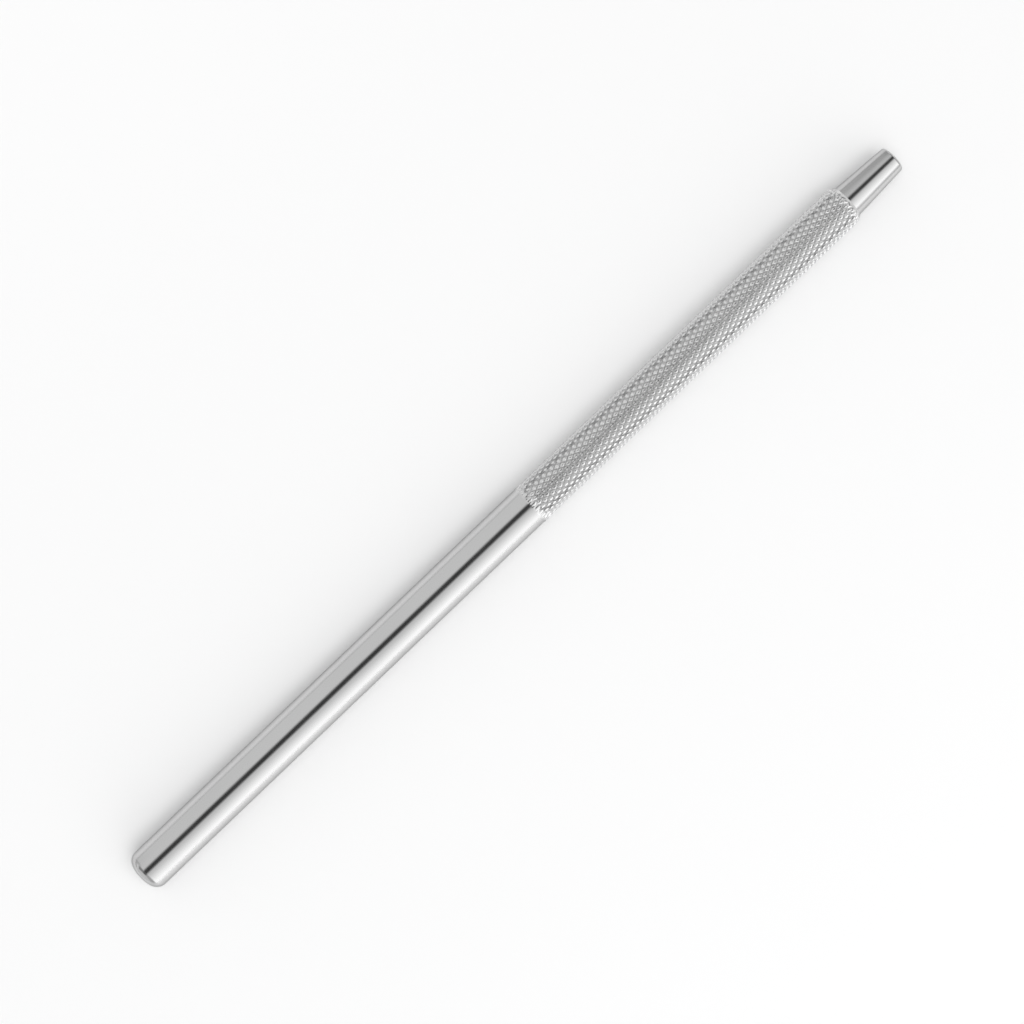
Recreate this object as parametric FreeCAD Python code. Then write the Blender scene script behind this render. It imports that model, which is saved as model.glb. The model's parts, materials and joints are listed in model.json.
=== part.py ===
import FreeCAD, Part
import math
import os

# Mouth mirror handle: one stainless steel bar. It is turned, rounded at the butt, diamond knurled over the
# grip and tapped in the nose, where the stem of a mirror screws in. It is a single solid.
# The bar lies along X. The origin is the centre of the nose's end face, +X points out of the tapped hole
# and the bar reaches back along -X. Sizes are in millimetres and angles in degrees.

# bar
overall_length = 130.0
bar_diameter = 5.5
butt_rounding = 1.4

# nose, a slim taper in front of the grip
nose_length = 8.0
nose_root_diameter = 4.54
nose_tip_diameter = 3.6
nose_tip_rounding = 0.35

# grip, from the foot of the nose back to the smooth shank, with a rounded shoulder at its front
grip_length = 55.0
shoulder_length = 1.0
shoulder_rounding = 1.5

# diamond knurl: grooves of both hands, which leave rows of four-sided pyramids
groove_spacing = 0.75
groove_angle = 30.0
groove_depth = 0.22
crest_rise = 0.03
run_in_length = 1.3
seat_depth = 0.02
seat_length = 0.3

# tapped hole for the stem of the mirror, bored to the thread's minor diameter
thread_diameter = 2.5
thread_pitch = 0.45
thread_length = 6.5
countersink_diameter = 2.6
countersink_angle = 90.0
drill_point_angle = 118.0

# places along the bar
bar_radius = bar_diameter / 2
nose_root_radius = nose_root_diameter / 2
nose_tip_radius = nose_tip_diameter / 2
butt_x = -overall_length
nose_root_x = -nose_length
shoulder_x = nose_root_x - shoulder_length
grip_back_x = nose_root_x - grip_length

X_AXIS = FreeCAD.Vector(1, 0, 0)


def on_profile(x, radius):
    """A point of the turned outline: its place along the bar and its distance from the axis."""
    return FreeCAD.Vector(x, radius, 0)


def revolved(points):
    """The solid that a closed outline makes, turned once round the bar's axis."""
    outline = Part.makePolygon(points + points[:1])
    return Part.Face(outline).revolve(FreeCAD.Vector(0, 0, 0), X_AXIS, 360)


def rim(solid, x, radius):
    """The circular edge of that radius at that place along the bar."""
    for edge in solid.Edges:
        curve = edge.Curve
        if isinstance(curve, Part.Circle) and abs(curve.Radius - radius) < 1e-6:
            if abs(curve.Center.x - x) < 1e-6:
                return edge
    raise ValueError("the turned bar has no such rim")


def turned_bar():
    """The bar as it leaves the lathe: shank, a core inside the grip, nose and hole for the thread."""
    hole_radius = (thread_diameter - thread_pitch) / 2
    sink_radius = countersink_diameter / 2
    sink_depth = (sink_radius - hole_radius) / math.tan(math.radians(countersink_angle / 2))
    point_depth = hole_radius / math.tan(math.radians(drill_point_angle / 2))
    bar = revolved(
        [
            on_profile(butt_x, 0),
            on_profile(butt_x, bar_radius),
            on_profile(grip_back_x, bar_radius),
            on_profile(grip_back_x, nose_root_radius),
            on_profile(nose_root_x, nose_root_radius),
            on_profile(0, nose_tip_radius),
            on_profile(0, sink_radius),
            on_profile(-sink_depth, hole_radius),
            on_profile(-thread_length, hole_radius),
            on_profile(-thread_length - point_depth, 0),
        ]
    )
    bar = bar.makeFillet(butt_rounding, [rim(bar, butt_x, bar_radius)])
    return bar.makeFillet(nose_tip_rounding, [rim(bar, 0, nose_tip_radius)])


def crest_radius(x):
    """How far the knurl's crests stand from the axis: level over the grip, then round over the shoulder."""
    past_shoulder = max(0.0, x - shoulder_x)
    drop = shoulder_rounding - math.sqrt(shoulder_rounding**2 - past_shoulder**2)
    return bar_radius + crest_rise - drop


def depth_at(x):
    """The depth of the grooves: none at the grip's back edge and at the nose, full between them."""
    from_back = (x - grip_back_x) / run_in_length
    from_nose = (nose_root_x - x) / shoulder_length
    return groove_depth * max(0.0, min(1.0, from_back, from_nose))


def ring(x, corners, first_valley):
    """The corners of the knurl at one place along the bar: every second one is a crest, the rest lie in grooves."""
    points = []
    for corner in range(corners):
        in_groove = (corner + first_valley) % 2 == 0
        radius = crest_radius(x) - (depth_at(x) if in_groove else 0.0)
        angle = 2 * math.pi * corner / corners
        points.append(FreeCAD.Vector(x, radius * math.cos(angle), radius * math.sin(angle)))
    return points


def level_ring(x, radius, corners):
    """Corners at one radius, where the knurl has run out."""
    turns = [2 * math.pi * corner / corners for corner in range(corners)]
    return [FreeCAD.Vector(x, radius * math.cos(turn), radius * math.sin(turn)) for turn in turns]


def knurled_grip():
    """The knurled grip: rings of corners half a diamond apart, joined by the pyramids' flat sides."""
    starts = max(3, round(math.pi * bar_diameter / groove_spacing))
    corners = 2 * starts
    knurl_length = shoulder_x - grip_back_x
    half_diamond = math.pi * bar_diameter / corners / math.tan(math.radians(groove_angle))
    rows = max(2, round(knurl_length / half_diamond))
    row_step = knurl_length / rows

    seat_radius = bar_radius - seat_depth
    rings = [level_ring(grip_back_x - seat_length, seat_radius, corners)]
    rings.append(level_ring(grip_back_x + seat_length, seat_radius, corners))
    for row in range(1, rows + 1):
        rings.append(ring(grip_back_x + row * row_step, corners, row))
    rings.append(ring((shoulder_x + nose_root_x) / 2, corners, rows + 1))
    rings.append(level_ring(nose_root_x, crest_radius(nose_root_x), corners))

    points = [point for one_ring in rings for point in one_ring]
    sides = []
    for index in range(len(rings) - 1):
        for corner in range(corners):
            near = index * corners + corner
            near_next = index * corners + (corner + 1) % corners
            far = near + corners
            far_next = near_next + corners
            # each field between two rings is creased along its groove
            if (index + corner) % 2 == 0:
                sides += [(near, near_next, far), (near_next, far_next, far)]
            else:
                sides += [(near, near_next, far_next), (near, far_next, far)]
    surface = Part.Shape()
    surface.makeShapeFromMesh((points, sides), 1e-4)
    caps = []
    for end in (rings[0], rings[-1]):
        caps.append(Part.Face(Part.makePolygon(end + end[:1])))
    shell = Part.makeShell(surface.Faces + caps)
    shell.sewShape()
    grip = Part.Solid(shell)
    if grip.Volume < 0:
        grip.reverse()
    return grip


handle = turned_bar().fuse(knurled_grip()).removeSplitter()
if isinstance(handle, Part.Compound):
    handle = handle.Solids[0]

os.makedirs("parts", exist_ok=True)
handle.exportStep("parts/handle.step")

print("solids", len(handle.Solids), "valid", handle.isValid(), "faces", len(handle.Faces))
print("volume mm3", round(handle.Volume, 2), "box", handle.BoundBox)
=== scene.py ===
import json
import math

import bpy
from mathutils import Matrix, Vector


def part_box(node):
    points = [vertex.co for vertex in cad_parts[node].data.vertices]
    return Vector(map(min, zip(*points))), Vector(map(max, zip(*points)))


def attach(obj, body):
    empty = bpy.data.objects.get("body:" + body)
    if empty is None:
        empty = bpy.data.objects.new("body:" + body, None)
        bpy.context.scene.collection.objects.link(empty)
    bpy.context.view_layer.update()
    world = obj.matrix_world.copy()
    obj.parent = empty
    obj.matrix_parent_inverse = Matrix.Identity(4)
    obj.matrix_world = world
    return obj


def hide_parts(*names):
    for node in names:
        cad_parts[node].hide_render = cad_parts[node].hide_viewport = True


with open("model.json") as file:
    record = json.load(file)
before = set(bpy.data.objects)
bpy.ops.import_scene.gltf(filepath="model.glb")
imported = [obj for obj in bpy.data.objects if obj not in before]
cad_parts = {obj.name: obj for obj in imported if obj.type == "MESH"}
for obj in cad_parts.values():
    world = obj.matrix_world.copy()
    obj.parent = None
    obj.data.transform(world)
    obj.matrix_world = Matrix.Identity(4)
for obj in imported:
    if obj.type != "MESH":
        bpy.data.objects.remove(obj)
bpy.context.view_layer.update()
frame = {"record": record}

# The handle: one bar of stainless steel, turned with a rounded butt, a plain polished shank and a slim nose.
# Its grip is diamond knurled up to a rounded shoulder, and its nose is bored, countersunk and tapped for the
# stem of a mirror. One outline, carried round the axis, makes the whole bar.
MM = 0.001

mounts = {mount["name"]: mount for mount in frame["record"]["mounts"]}
low_corner, high_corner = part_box("handle")
butt_x = low_corner.x
crest_radius = high_corner.y
bar_radius = mounts["shank"]["dims"]["r_mm"] * MM
hole_radius = mounts["mirror_socket"]["dims"]["r_mm"] * MM

butt_rounding = 1.4 * MM
grip_back_x = -63.0 * MM
shoulder_x = -9.0 * MM
shoulder_rounding = 1.5 * MM
nose_root_x = -8.0 * MM
nose_root_radius = 2.27 * MM
nose_tip_radius = 1.8 * MM
nose_tip_rounding = 0.35 * MM
sink_radius = 1.3 * MM
hole_end_x = -6.5 * MM
drill_half_angle = math.radians(59)

groove_count = 23
groove_depth = 0.22 * MM
half_diamonds_along = 83
diamond_length = 2 * (shoulder_x - grip_back_x) / half_diamonds_along
crown_height = 0.11 * MM
crown_share = 0.5
unevenness = 0.03 * MM
unevenness_scale = 1600.0
run_in_length = 1.3 * MM
thread_pitch = 0.45 * MM
thread_depth = 0.225 * MM
thread_run_out = 0.9 * MM

# how finely the mesh follows the knurl and the thread
rows_per_diamond = 8
columns_per_diamond = 8
rows_per_thread = 6


def straight(start, end, steps):
    """Points of the outline from one point to another, without the first one."""
    shares = [step / steps for step in range(1, steps + 1)]
    return [tuple(a + (b - a) * share for a, b in zip(start, end)) for share in shares]


def arc(centre, radius, start, end, steps):
    """Points of the outline round a centre, from one angle to another."""
    turns = [start + (end - start) * step / steps for step in range(steps + 1)]
    return [(centre[0] + radius * math.cos(turn), centre[1] + radius * math.sin(turn)) for turn in turns]


def crest_at(x):
    """The radius that the knurl's crests reach: level over the grip, round over its shoulder."""
    past_shoulder = max(0.0, x - shoulder_x)
    return crest_radius - shoulder_rounding + math.sqrt(shoulder_rounding**2 - past_shoulder**2)


# The outline, as places along the bar and distances from its axis: from the middle of the butt over the
# outside and down the hole to the point that the drill left. The rounding of the nose's rim touches the
# taper and the end face, and the 90 degree countersink is as deep as it is wide.
taper = math.atan((nose_root_radius - nose_tip_radius) / -nose_root_x)
rim_centre_radius = nose_tip_radius + nose_tip_rounding * (math.tan(taper) - 1 / math.cos(taper))
hole_start_x = hole_radius - sink_radius
drill_point_x = hole_end_x - hole_radius / math.tan(drill_half_angle)
grip_rows = round((shoulder_x - grip_back_x) / diamond_length * rows_per_diamond)
thread_rows = round((hole_start_x - hole_end_x) / thread_pitch * rows_per_thread)

outline = [(butt_x, 0.0)]
outline += straight(outline[-1], (butt_x, bar_radius - butt_rounding), steps=6)
butt_centre = (butt_x + butt_rounding, bar_radius - butt_rounding)
outline += arc(butt_centre, butt_rounding, math.pi, math.pi / 2, steps=14)[1:]
outline += straight(outline[-1], (grip_back_x, bar_radius), steps=20)
for row in range(1, grip_rows + 1):
    x = grip_back_x + (shoulder_x - grip_back_x) * row / grip_rows
    outline.append((x, crest_radius))
for row in range(1, rows_per_diamond + 1):
    x = shoulder_x + (nose_root_x - shoulder_x) * row / rows_per_diamond
    outline.append((x, crest_at(x)))
outline += straight(outline[-1], (nose_root_x, nose_root_radius), steps=2)
rim_centre = (-nose_tip_rounding, rim_centre_radius)
rim_arc = arc(rim_centre, nose_tip_rounding, math.pi / 2 - taper, 0.0, steps=8)
outline += straight(outline[-1], rim_arc[0], steps=12) + rim_arc[1:]
outline += straight(outline[-1], (0.0, sink_radius), steps=2)
outline += straight(outline[-1], (hole_start_x, hole_radius), steps=5)
outline += straight(outline[-1], (hole_end_x, hole_radius), steps=thread_rows)
outline += straight(outline[-1], (drill_point_x, 0.0), steps=3)


class Wire:
    """A socket of a node tree. Arithmetic on it adds Math nodes, and make() adds any other node."""

    def __init__(self, tree, socket=None):
        self.tree = tree
        self.socket = socket

    def make(self, kind, settings=None, inputs=None):
        """A new node of that kind, as a Wire on its first output."""
        node = self.tree.nodes.new(kind)
        for name, value in (settings or {}).items():
            setattr(node, name, value)
        for name, value in (inputs or {}).items():
            if isinstance(value, Wire):
                self.tree.links.new(value.socket, node.inputs[name])
            else:
                node.inputs[name].default_value = value
        return Wire(self.tree, node.outputs[0] if node.outputs else None)

    def out(self, name):
        """Another output of the same node."""
        return Wire(self.tree, self.socket.node.outputs[name])

    def maths(self, operation, first, second=0.0):
        return self.make("ShaderNodeMath", {"operation": operation}, {0: first, 1: second})

    def __add__(self, other):
        return self.maths("ADD", self, other)

    __radd__ = __add__

    def __sub__(self, other):
        return self.maths("SUBTRACT", self, other)

    def __rsub__(self, other):
        return self.maths("SUBTRACT", other, self)

    def __mul__(self, other):
        return self.maths("MULTIPLY", self, other)

    __rmul__ = __mul__

    def __truediv__(self, other):
        return self.maths("DIVIDE", self, other)

    def __rtruediv__(self, other):
        return self.maths("DIVIDE", other, self)

    def __abs__(self):
        return self.maths("ABSOLUTE", self)

    def least(self, other):
        return self.maths("MINIMUM", self, other)

    def most(self, other):
        return self.maths("MAXIMUM", self, other)

    def over(self, other):
        return self.maths("GREATER_THAN", self, other)

    def under(self, other):
        return self.maths("LESS_THAN", self, other)

    def call(self, operation, other=0.0):
        return self.maths(operation, self, other)

    def ramp(self, start, end, smooth=False):
        """Rises from 0 at start to 1 at end."""
        settings = {"interpolation_type": "SMOOTHSTEP" if smooth else "LINEAR"}
        inputs = {"Value": self, "From Min": start, "From Max": end, "To Min": 0.0, "To Max": 1.0}
        return self.make("ShaderNodeMapRange", settings, inputs)


def empty_tree(owner):
    """Empties the node tree of a material or of the world, for nodes to be made in."""
    owner.use_nodes = True
    owner.node_tree.nodes.clear()
    return Wire(owner.node_tree)


def in_scene(name, data):
    """A new object in the scene, at the origin."""
    new_object = bpy.data.objects.new(name, data)
    bpy.context.scene.collection.objects.link(new_object)
    return new_object


# The steel is ground and polished round the bar. It carries fine rings, deeper on the nose than on the
# shank, faint hairlines along the bar, and a film that dulls it in soft patches. The rolled knurl gets a
# painted sheen, a lighter colour most of all in its grooves, which are also duller.
steel_shade = 0.64
cloud_gain = 0.06
# painted sheen: how much lighter the knurl and its grooves are painted, for light their facets reflect
grip_painted_sheen = 0.24
groove_painted_sheen = 0.2
polish = 0.1
film_dullness = 0.08
nose_ring_dullness = 0.05
groove_dullness = 0.16
groove_full_at = 0.3
ring_relief = 0.5
nose_ring_relief = 1.0
hairline_relief = 0.4
relief_height = 0.0006 * MM
relief_strength = 0.35
edge_tint = (0.5, 0.5, 0.5, 1)
grip_fade = 1.0 * MM
nose_fade = 0.1 * MM


def steel_material():
    material = bpy.data.materials.new("polished_steel")
    start = empty_tree(material)
    place = start.make("ShaderNodeTexCoord").out("Object")
    x = start.make("ShaderNodeSeparateXYZ", inputs={"Vector": place}).out("X")
    groove = start.make("ShaderNodeAttribute", {"attribute_name": "groove"}).out("Fac")

    def noise(stretch, scale, detail, roughness=0.5):
        spot = start.make("ShaderNodeVectorMath", {"operation": "MULTIPLY"}, {0: place, 1: stretch})
        inputs = {"Vector": spot, "Scale": scale, "Detail": detail, "Roughness": roughness}
        return start.make("ShaderNodeTexNoise", inputs=inputs)

    rings = noise(stretch=(1.0, 0.02, 0.02), scale=9000.0, detail=3.0, roughness=0.6)
    hairlines = noise(stretch=(0.03, 1.0, 1.0), scale=6000.0, detail=2.0)
    film = noise(stretch=(1.0, 1.6, 1.6), scale=260.0, detail=3.0)
    cloud = noise(stretch=(1.0, 1.0, 1.0), scale=90.0, detail=2.0)
    on_nose = x.ramp(nose_root_x - nose_fade, nose_root_x + nose_fade)
    on_grip = x.ramp(grip_back_x, grip_back_x + grip_fade) * (1 - on_nose)
    in_groove = groove.ramp(0.0, groove_full_at)

    # random tone from the cloud, plus a painted sheen on the grip and its grooves that stands in for
    # reflected light
    gain = 1 - cloud_gain / 2 + cloud_gain * cloud + grip_painted_sheen * on_grip + groove_painted_sheen * in_groove
    shade = steel_shade * gain
    colour = start.make("ShaderNodeCombineColor", inputs={"Red": shade, "Green": shade, "Blue": shade})
    dull = polish + film_dullness * film + nose_ring_dullness * on_nose * rings + groove_dullness * in_groove
    height = rings * (ring_relief + nose_ring_relief * on_nose) + hairline_relief * hairlines
    relief = start.make(
        "ShaderNodeBump",
        inputs={"Strength": relief_strength, "Distance": relief_height, "Height": height},
    )
    inputs = {"Base Color": colour, "Metallic": 1.0, "Roughness": dull, "Normal": relief}
    inputs["Specular Tint"] = edge_tint
    metal = start.make("ShaderNodeBsdfPrincipled", inputs=inputs)
    start.make("ShaderNodeOutputMaterial", inputs={"Surface": metal})
    return material


# The tree that shapes the bar, and its sizes.
bar_sizes = {
    "Columns": columns_per_diamond * groove_count,
    "Grooves": groove_count,
    "Groove depth": groove_depth,
    "Diamond length": diamond_length,
    "Crown height": crown_height,
    "Crown share": crown_share,
    "Unevenness": unevenness,
    "Run-in": run_in_length,
    "Thread pitch": thread_pitch,
    "Thread depth": thread_depth,
}
margin = 0.001 * MM
weld_distance = 0.0005 * MM
crease_angle = math.radians(24)

turning = bpy.data.node_groups.new("turned_and_knurled_bar", "GeometryNodeTree")
turning.interface.new_socket("Outline", in_out="INPUT", socket_type="NodeSocketGeometry")
for name, size in bar_sizes.items():
    kind = "NodeSocketInt" if isinstance(size, int) else "NodeSocketFloat"
    turning.interface.new_socket(name, in_out="INPUT", socket_type=kind)
turning.interface.new_socket("Bar", in_out="OUTPUT", socket_type="NodeSocketGeometry")

# A plain tube has a row of points for each point of the outline, and each row takes its place from it.
given = Wire(turning).make("NodeGroupInput")
profile = given.out("Outline")
rows = given.make("GeometryNodeAttributeDomainSize", inputs={"Geometry": profile}).out("Point Count")
tube = given.make(
    "GeometryNodeMeshCylinder",
    {"fill_type": "NONE"},
    {"Vertices": given.out("Columns"), "Side Segments": rows - 1, "Radius": 1.0, "Depth": 1.0},
)
spot = given.make("GeometryNodeInputPosition")
tube_spot = given.make("ShaderNodeSeparateXYZ", inputs={"Vector": spot})
turn = tube_spot.out("Y").call("ARCTAN2", tube_spot.out("X"))
row = (tube_spot.out("Z") + 0.5) * (rows - 1)
sampled = given.make(
    "GeometryNodeSampleIndex",
    {"data_type": "FLOAT_VECTOR", "domain": "POINT"},
    {"Geometry": profile, "Value": spot, "Index": row.call("ROUND")},
)
outline_point = given.make("ShaderNodeSeparateXYZ", inputs={"Vector": sampled})
x = outline_point.out("X")
radius = outline_point.out("Y")


def ridge(phase):
    """1 at each whole turn of the phase, 0 halfway between two."""
    return abs(phase.call("FRACT") - 0.5) * 2


def on_bar(distance):
    """The point that far from the axis, at the same place along the bar and round it."""
    inputs = {"X": x, "Y": distance * turn.call("COSINE"), "Z": distance * turn.call("SINE")}
    return given.make("ShaderNodeCombineXYZ", inputs=inputs)


# The mirror's thread widens the hole, up to a short run-out at its end.
helix = ridge(x / given.out("Thread pitch") - turn / (2 * math.pi))
run_out = ((x - hole_end_x) / thread_run_out).most(0.0).least(1.0)
thread_radius = hole_radius + helix * run_out * given.out("Thread depth")
in_hole = radius.under(sink_radius + margin) * x.over(hole_end_x)
cut_radius = radius + in_hole * (thread_radius - radius).most(0.0)

# The knurl's grooves run both ways round the grip. Each diamond between them is a low, slightly uneven
# dome, and past the crown's share of its width it drops more steeply to the bottom of the grooves.
round_bar = turn / (2 * math.pi) * given.out("Grooves")
along_bar = (x - grip_back_x) / given.out("Diamond length")
right_hand = ridge(round_bar + along_bar)
left_hand = ridge(round_bar - along_bar)
side = right_hand.most(left_hand).ramp(given.out("Crown share"), 1.0)
crown = (1 - right_hand * right_hand) * (1 - left_hand * left_hand)
back_edge = ((x - grip_back_x) / given.out("Run-in")).most(0.0)
nose_edge = ((nose_root_x - x) / (nose_root_x - shoulder_x)).most(0.0)
pressed = back_edge.least(nose_edge).least(1.0)
chance = given.make(
    "ShaderNodeTexNoise",
    inputs={"Vector": on_bar(bar_radius), "Scale": unevenness_scale, "Detail": 1.0},
)
grooved = side * (given.out("Groove depth") - given.out("Crown height"))
pressed_in = grooved + (1 - crown) * given.out("Crown height") + chance * given.out("Unevenness")
final_place = on_bar(cut_radius - pressed * pressed_in)

# The tube is moved to its place, closed at both ends, and split and creased along the grooves.
marked = given.make(
    "GeometryNodeStoreNamedAttribute",
    {"data_type": "FLOAT", "domain": "POINT"},
    {"Geometry": tube, "Name": "groove", "Value": side * pressed},
)
shaped = given.make("GeometryNodeSetPosition", inputs={"Geometry": marked, "Position": final_place})
closed = given.make("GeometryNodeMergeByDistance", inputs={"Geometry": shaped, "Distance": weld_distance})
split = given.make("GeometryNodeTriangulate", {"quad_method": "SHORTEST_DIAGONAL"}, {"Mesh": closed})
smooth = given.make(
    "GeometryNodeSetShadeSmooth",
    {"domain": "FACE"},
    {"Geometry": split, "Shade Smooth": True},
)
fold = given.make("GeometryNodeInputMeshEdgeAngle")
creased = given.make(
    "GeometryNodeSetShadeSmooth",
    {"domain": "EDGE"},
    {"Geometry": smooth, "Selection": fold.over(crease_angle), "Shade Smooth": False},
)
real = given.make("GeometryNodeRealizeInstances", inputs={"Geometry": creased})
steel = steel_material()
dressed = given.make("GeometryNodeSetMaterial", inputs={"Geometry": real, "Material": steel})
given.make("NodeGroupOutput", inputs={"Bar": dressed})

outline_mesh = bpy.data.meshes.new("outline")
outline_edges = [(index, index + 1) for index in range(len(outline) - 1)]
outline_mesh.from_pydata([(x, radius, 0.0) for x, radius in outline], outline_edges, [])
outline_object = in_scene("outline", outline_mesh)
lathe = outline_object.modifiers.new("lathe", "NODES")
lathe.node_group = turning
for item in turning.interface.items_tree:
    if item.in_out == "INPUT" and item.name in bar_sizes:
        lathe[item.identifier] = bar_sizes[item.name]

graph = bpy.context.evaluated_depsgraph_get()
handle_mesh = bpy.data.meshes.new_from_object(outline_object.evaluated_get(graph))
handle_mesh.name = "steel_handle"
# the first slot is the outline's own, which is empty
handle_mesh.materials.pop(index=0)
bpy.data.objects.remove(outline_object)
handle = in_scene("steel_handle", handle_mesh)
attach(handle, "root")
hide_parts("handle")


# The table: a plain white sheet with a faint sheen. It lies level under the crests of the knurl, on which
# the handle rests.
table_half = 3000.0 * MM
table_white = (0.97, 0.97, 0.97, 1)
table_roughness = 0.12

table_material = bpy.data.materials.new("white_table")
table_start = empty_tree(table_material)
table_inputs = {"Base Color": table_white, "Roughness": table_roughness}
sheet = table_start.make("ShaderNodeBsdfPrincipled", inputs=table_inputs)
table_start.make("ShaderNodeOutputMaterial", inputs={"Surface": sheet})

table_mesh = bpy.data.meshes.new("table")
signs = [(-1, -1), (1, -1), (1, 1), (-1, 1)]
corners = [(side_x * table_half, side_y * table_half, low_corner.z) for side_x, side_y in signs]
table_mesh.from_pydata(corners, [], [(0, 1, 2, 3)])
table_mesh.materials.append(table_material)
table = in_scene("table", table_mesh)


# The light: a soft white surround and, for the table, a broad lamp overhead. The surround is brightest low
# on the -Y side, even on the other side, and dimmer off the ends of the bar. A narrow dark gap runs overhead
# along the bar, as between two soft boxes.
# levels of the surround, where 1 is white
even_level = 0.79
key_level = 1.51
gap_level = 0.05
off_right_level = 0.5
off_left_level = 0.3
off_low_level = 0.9
end_level = 0.75

world = bpy.data.worlds.new("studio")
bpy.context.scene.world = world
sky = empty_tree(world)

# All angles are in degrees. Right and left are counted from overhead, down to the -Y and the +Y side, and
# to_nose from square to the bar. The pairs that follow say where a change starts and where it is complete.
degrees_per_radian = 180 / math.pi
outwards = sky.make("ShaderNodeTexCoord").out("Generated")
direction = sky.make("ShaderNodeSeparateXYZ", inputs={"Vector": outwards})
right = (0 - direction.out("Y")).call("ARCTAN2", direction.out("Z")) * degrees_per_radian
left = 0 - right
to_nose = direction.out("X").call("ARCSINE") * degrees_per_radian
off_square = abs(to_nose)

# The shank shows what lies square to it, and the nose what lies a little towards its own end. In the
# nose's part the bright side starts nearer the top, and three bands are dimmer.
nose_view = (12.5, 15.5)
key_rise = (24.0, 76.0)
key_shift_on_nose = 14.0
low_drop = (82.0, 94.0)
low_loss = 0.3
nose_top_drop = (0.0, 10.0)
nose_side_drop = (44.0, 66.0)
nose_left_loss = 0.12
nose_right_drop = (70.0, 84.0)
nose_right_loss = 0.6
nose_end = to_nose.ramp(*nose_view)
key = (right + key_shift_on_nose * nose_end).ramp(*key_rise)
level = even_level * (1 - low_loss * left.ramp(*low_drop)) + (key_level - even_level) * key
nose_shade = nose_left_loss * left.ramp(*nose_top_drop) + nose_left_loss * left.ramp(*nose_side_drop)
nose_shade = nose_shade + nose_right_loss * right.ramp(*nose_right_drop)
level = level * (1 - nose_end * nose_shade)

# The knurl's crowns and, above all, the sides of its diamonds show what lies far off square. That part is
# dim, more so on the left, with a light band low on the left.
crown_view = (14.0, 20.0)
crown_left_drop = (30.0, 60.0)
crown_left_loss = 0.3
diamond_view = (28.0, 38.0)
off_left_drop = (0.0, 20.0)
low_band_rise = (50.0, 64.0)
low_band_drop = (72.0, 92.0)
level = level * (1 - crown_left_loss * left.ramp(*crown_left_drop) * off_square.ramp(*crown_view))
far_off = off_square.ramp(*diamond_view)
low_band = left.ramp(*low_band_rise) * (1 - left.ramp(*low_band_drop))
off_level = off_right_level + (off_left_level - off_right_level) * left.ramp(*off_left_drop)
off_level = off_level + (off_low_level - off_left_level) * low_band
level = level + far_off * (off_level - level)

# The dark gap lies a little left of overhead, more so for the nose, and a little right of it far off square.
gap_edge = (6.0, 20.0)
gap_shift = 1.0
gap_shift_on_nose = 4.0
gap_shift_far_off = -3.0
gap_fill_far_off = 0.2
shift = gap_shift + gap_shift_on_nose * nose_end + gap_shift_far_off * far_off
gap = 1 - abs(right + shift).ramp(*gap_edge, smooth=True)
level = level * (1 - gap * (1 - gap_level / even_level) * (1 - gap_fill_far_off * far_off))

# Only the rounding of the butt and the end faces show what lies off the very ends.
end_view = (52.0, 60.0)
level = level + off_square.ramp(*end_view) * (end_level - level)
shade = sky.make("ShaderNodeCombineColor", inputs={"Red": level, "Green": level, "Blue": level})
glow = sky.make("ShaderNodeBackground", inputs={"Color": shade, "Strength": 1.0})
sky.make("ShaderNodeOutputWorld", inputs={"Surface": glow})

lamp_width = 900.0 * MM
lamp_height = 900.0 * MM
lamp_offset = 120.0 * MM
lamp_watts = 4.25

lamp_data = bpy.data.lights.new("fill", "AREA")
lamp_data.shape = "DISK"
lamp_data.size = lamp_width
lamp_data.energy = lamp_watts
lamp = in_scene("fill", lamp_data)
lamp.location = (butt_x / 2, -lamp_offset, lamp_height)
lamp.rotation_euler = (math.atan2(lamp_offset, lamp_height), 0.0, 0.0)
lamp.visible_glossy = False
lamp.visible_camera = False


# The camera: it looks straight down on the middle of the handle, which lies across the picture corner to
# corner, nose at the upper right. Its height gives the slight bulge of the two ends.
picture_pixels = 1024
pixel_size = 0.12525 * MM
camera_height = 284.7 * MM
slant_in_picture = math.radians(43.69)
picture_centre = (-65.07 * MM, 0.924 * MM)
sensor_width = 36.0
nearest_seen = 10.0 * MM

camera_data = bpy.data.cameras.new("camera")
camera_data.sensor_width = sensor_width
camera_data.lens = sensor_width * camera_height / (picture_pixels * pixel_size)
camera_data.clip_start = nearest_seen
camera = in_scene("camera", camera_data)
camera.location = (picture_centre[0], picture_centre[1], camera_height)
camera.rotation_euler = (0.0, 0.0, -slant_in_picture)
bpy.context.scene.camera = camera
bpy.context.scene.view_settings.view_transform = "Standard"
